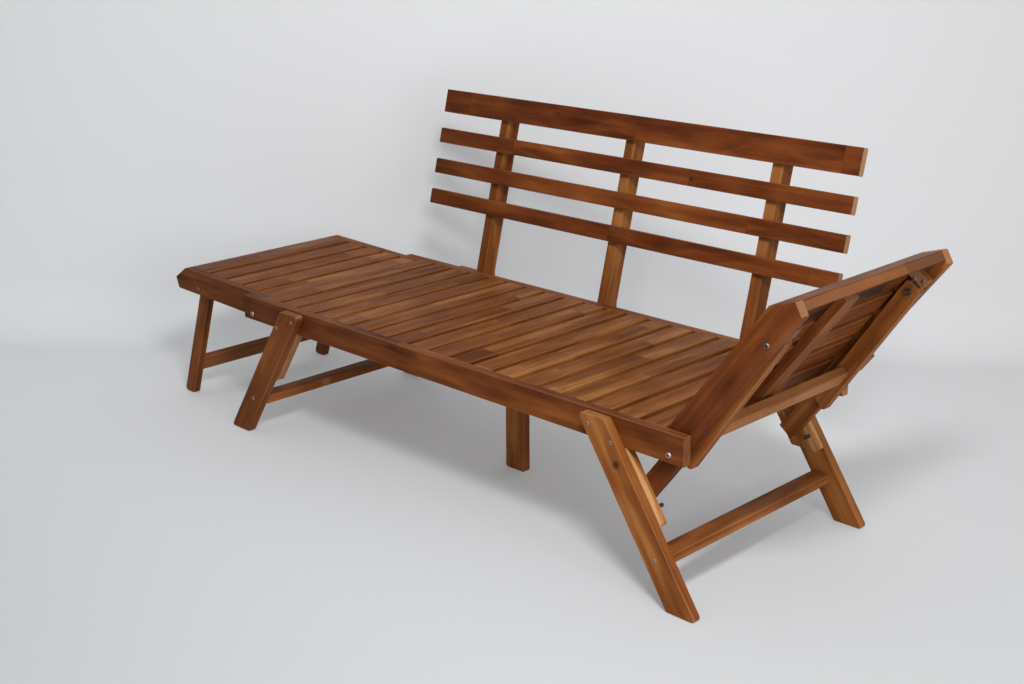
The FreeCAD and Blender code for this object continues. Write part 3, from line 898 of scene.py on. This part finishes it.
# For each body, the node that a screw sits in, a start in front of the wood and the way it goes in.
def screwPlaces():
    bodies = ("frame", "left_panel", "right_panel", "left_leg_frame", "right_leg_frame")
    places = {body: [] for body in bodies}
    spots = screwSpots
    clear = spots["clear"]
    for out, side in ((-1, "left"), (1, "right")):
        blocks = side + "_stop_blocks"
        low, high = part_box(side + "_fold_brace")
        brace = (low + high) / 2
        for y, end in ((-1, "front"), (1, "rear")):
            outside, inwards = y * clear, alongY * -y
            leg = "main_leg_%s_%s" % (end, side)
            foldLeg = "%s_fold_leg_%s" % (side, end)
            for x, z in spots["mainLeg"]:
                places["frame"].append((leg, (out * x, outside, z), inwards))
            for x, z in spots["doubler"]:
                places["frame"].append(("leg_doublers", (out * x, 0, z), -inwards))
            start = (brace.x, outside, brace.z)
            places[side + "_leg_frame"].append((foldLeg, start, inwards))
        outwards, upwards = panelAxes(side)
        for y in (-1, 1):
            for a, b in spots["cornerSteps"]:
                x, z = spots["corner"][side]
                start = Vector((x, 0, z)) + outwards * a + upwards * b
                places[side + "_panel"].append((blocks, start, alongY * y))
        for a in spots["cleatSteps"]:
            x, z = spots["cleat"][side]
            start = Vector((x, clear, z)) + outwards * a
            places[side + "_panel"].append((blocks, start, -alongY))
    back = Vector((0, math.cos(backLean), -math.sin(backLean)))
    for post, x in spots["posts"].items():
        for count in spots["slats"]:
            low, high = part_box("back_slat_%d" % count)
            start = (low + high) / 2 + back * spots["slatClear"]
            start.x = x
            places["frame"].append(("back_post_" + post, start, -back))
        for z in spots["postHeights"]:
            places["frame"].append(("back_post_" + post, (x, clear, z), -alongY))
    for x, z in spots["centreLeg"]:
        places["frame"].append(("centre_leg", (x, clear, z), -alongY))
    return places


def screwRows(proud):
    radius = screwLook["radius"]
    recess = crossRecess(screwLook["crossLong"], screwLook["crossHalf"])
    rim, floor = screwLook["recess"]
    return [
        *((height, radius + wider, True) for height, wider in screwLook["shadeRing"]),
        *((proud * share, radius + wider, False) for share, wider in screwLook["head"]),
        (proud * rim, recess, False),
        # The recess floor is painted dark, as shade.
        (proud * floor, recess, True),
    ]


def makeScrews():
    skins = {}
    total = 0
    for body, places in screwPlaces().items():
        work = bmesh.new()
        sunk = body.endswith("leg_frame")
        rows = screwRows(screwLook["sunkProud" if sunk else "proud"])
        for count, (node, start, way) in enumerate(places):
            if node not in skins:
                depsgraph = bpy.context.evaluated_depsgraph_get()
                skins[node] = BVHTree.FromObject(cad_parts[node], depsgraph)
            spot, normal = skins[node].ray_cast(Vector(start), way)[:2]
            if spot is None:
                print("no wood for a screw in", node, start)
                continue
            angle = count * screwLook["turnStep"]
            turn = Vector((math.cos(angle), 0.1, math.sin(angle)))
            addTurned(work, spot, normal, turn, rows, screwLook["sides"])
            total += 1
        finishHardware(body + "Screws", work, body, agedSteel if sunk else platedSteel)
    print("screws:", total)


makeBolts()
makeScrews()
print("steel finished")

# Studio: two softboxes at the right, one high and one low, even fill, and a white paper sweep.
studio = {
    "softboxes": {
        "highSoftbox": {
            "place": (1.41, -1.22, 2.0),
            "aim": (-0.1, 0.0, 0.3),
            "power": 36.0,
            "size": 0.40,
        },
        "lowSoftbox": {
            "place": (3.4, -1.3, 1.15),
            "aim": (0.3, 0.1, 0.3),
            "power": 47.0,
            "size": 1.9,
        },
    },
    "fill": 0.43,
    "backdrop": (0.716, 0.73, 0.761, 1),
    "floorSize": 40.0,
    "floorSides": 96,
    "floorDrop": 0.0005,
    "sweepFoot": (-0.655, 0.724),
    "sweepFacing": (0.64, -0.77),
    "sweepRound": 0.16,
    "sweepSteps": 24,
    "sweepHeight": 4.0,
    "sweepHalf": 16.0,
}

# Paper, as the light finds it and as the camera sees it. What the camera sees carries painted
# shade, darker near the camera and at the right, and a painted glow, stronger far off, that only
# the camera sees. Ranges are in metres from the sweep's foot, or from the bench for the glow.
paperLook = {
    "lit": (0.74, 0.74, 0.74, 1),
    "far": (0.665, 0.676, 0.690, 1),
    # Painted shade near the camera.
    "paintedNearShade": (0.435, 0.446, 0.457, 1),
    "nearFrom": (0.35, 2.3),
    # Painted shade, darker at the right.
    "right": (0.84, 0.83, 0.82, 1),
    "rightFrom": (0.0, 1.7),
    # A painted glow, stronger far from the bench.
    "paintedGlow": (0.136, 0.139, 0.143, 1),
    "paintedFarGlow": (0.33, 0.335, 0.345, 1),
    "farGlowFrom": (2.6, 7.0),
    "roughness": 0.9,
    "specular": 0.1,
}


def makeLight():
    for name, softbox in studio["softboxes"].items():
        light = bpy.data.lights.new(name, "AREA")
        light.shape = "SQUARE"
        light.size = softbox["size"]
        light.energy = softbox["power"]
        lamp = linkNew(name, light)
        lamp.location = softbox["place"]
        backwards = Vector(softbox["place"]) - Vector(softbox["aim"])
        lamp.rotation_euler = backwards.to_track_quat("Z", "Y").to_euler()
        lamp.visible_camera = False

    world = bpy.data.worlds.new("studio")
    bpy.context.scene.world = world
    world.use_nodes = True
    tree = world.node_tree
    tree.nodes.clear()
    fill = addNode(tree, "Background", {"Color": (1, 1, 1, 1), "Strength": studio["fill"]})
    pale = addNode(tree, "Background", {"Color": studio["backdrop"], "Strength": 1.0})
    values = {0: seenNode(tree), 1: fill.outputs[0], 2: pale.outputs[0]}
    both = addNode(tree, "MixShader", values)
    addNode(tree, "OutputWorld", {"Surface": both.outputs[0]})


# White paper. What the camera sees of it carries painted shade and a painted glow, and the bench is
# lit by the plain paper.
def makePaper():
    material = bpy.data.materials.new("whitePaper")
    material.use_nodes = True
    tree = material.node_tree
    shader = tree.nodes["Principled BSDF"].inputs
    facing = (*studio["sweepFacing"], 0)
    sideways = (-facing[1], facing[0], 0)
    place = addNode(tree, "NewGeometry").outputs["Position"]
    fromFoot = vectorNode(tree, "SUBTRACT", place, (*studio["sweepFoot"], 0))
    depth = vectorNode(tree, "DOT_PRODUCT", fromFoot, facing, "Value")
    right = vectorNode(tree, "DOT_PRODUCT", fromFoot, sideways, "Value")
    # Painted shade: darker near the camera, then darker at the right beyond it.
    paintedNearShade = smoothMask(tree, depth, *paperLook["nearFrom"])
    colour = mixColours(tree, paintedNearShade, paperLook["far"], paperLook["paintedNearShade"])
    paintedRightShade = smoothMask(tree, right, *paperLook["rightFrom"])
    paintedRightShade = mathNode(tree, "MULTIPLY", paintedRightShade, inverted(tree, paintedNearShade))
    colour = mixColours(tree, paintedRightShade, colour, paperLook["right"], "MULTIPLY")
    seen = seenNode(tree)
    colour = mixColours(tree, seen, paperLook["lit"], colour)
    # A painted glow that only the camera sees lifts the paper's shadows.
    away = vectorNode(tree, "LENGTH", place, result="Value")
    paintedFarGlow = smoothMask(tree, away, *paperLook["farGlowFrom"])
    paintedGlow = mixColours(tree, paintedFarGlow, paperLook["paintedGlow"], paperLook["paintedFarGlow"])
    tree.links.new(colour, shader["Base Color"])
    tree.links.new(paintedGlow, shader["Emission Color"])
    tree.links.new(seen, shader["Emission Strength"])
    shader["Roughness"].default_value = paperLook["roughness"]
    shader["Specular IOR Level"].default_value = paperLook["specular"]
    return material


def makeFloor():
    mesh = bpy.data.meshes.new("floor")
    work = bmesh.new()
    sides, size = studio["floorSides"], studio["floorSize"]
    bmesh.ops.create_circle(work, cap_ends=True, segments=sides, radius=size)
    work.to_mesh(mesh)
    work.free()
    floor = linkNew("floor", mesh)
    floor.location.z = -studio["floorDrop"]
    mesh.materials.append(makePaper())


# The paper rises in a curve behind the bench. From its back it is clear, so that every side of the
# bench can be seen.
def makeSweep():
    foot = Vector((*studio["sweepFoot"], 0))
    facing = Vector((*studio["sweepFacing"], 0)).normalized()
    sideways = facing.cross(alongZ)
    bow, steps = studio["sweepRound"], studio["sweepSteps"]
    turns = [math.pi / 2 * k / steps for k in range(steps + 1)]
    profile = [(bow * (1 - math.sin(t)), bow * (1 - math.cos(t))) for t in turns]
    profile.append((0, studio["sweepHeight"]))
    work = bmesh.new()
    rows = []
    for side in (-1, 1):
        edge = foot + sideways * side * studio["sweepHalf"]
        rows.append([work.verts.new(edge + facing * a + alongZ * b) for a, b in profile])
    for k in range(len(profile) - 1):
        face = work.faces.new((rows[0][k], rows[0][k + 1], rows[1][k + 1], rows[1][k]))
        face.smooth = True
    work.faces.ensure_lookup_table()
    work.normal_update()
    if work.faces[-1].normal.dot(facing) < 0:
        bmesh.ops.reverse_faces(work, faces=work.faces)
    mesh = bpy.data.meshes.new("sweep")
    work.to_mesh(mesh)
    work.free()
    material = makePaper()
    tree = material.node_tree
    values = {
        0: addNode(tree, "NewGeometry").outputs["Backfacing"],
        1: tree.nodes["Principled BSDF"].outputs[0],
        2: addNode(tree, "BsdfTransparent").outputs[0],
    }
    both = addNode(tree, "MixShader", values)
    tree.links.new(both.outputs[0], tree.nodes["Material Output"].inputs["Surface"])
    mesh.materials.append(material)
    linkNew("sweep", mesh)


makeLight()
makeFloor()
makeSweep()
print("studio ready")

# The photograph's camera, in degrees, metres and millimetres.
shot = {
    "azimuth": 45.05,
    "elevation": 17.93,
    "roll": -0.40,
    "place": (2.1599, -2.1845, 1.3054),
    "lens": 50.994,
    "filmWidth": 36,
    "clip": (0.05, 200),
}


def makeCamera():
    a, e, roll = (math.radians(shot[k]) for k in ("azimuth", "elevation", "roll"))
    back = Vector((math.sin(a) * math.cos(e), -math.cos(a) * math.cos(e), math.sin(e)))
    right = (-back).cross(alongZ).normalized()
    up = right.cross(-back)
    turnedRight = right * math.cos(roll) + up * math.sin(roll)
    turnedUp = up * math.cos(roll) - right * math.sin(roll)
    data = bpy.data.cameras.new("camera")
    data.lens = shot["lens"]
    data.sensor_width = shot["filmWidth"]
    data.clip_start, data.clip_end = shot["clip"]
    camera = linkNew("camera", data)
    turn = Matrix((turnedRight, turnedUp, back)).transposed()
    camera.matrix_world = Matrix.Translation(shot["place"]) @ turn.to_4x4()
    bpy.context.scene.camera = camera


makeCamera()
bpy.context.scene.view_settings.view_transform = "Standard"
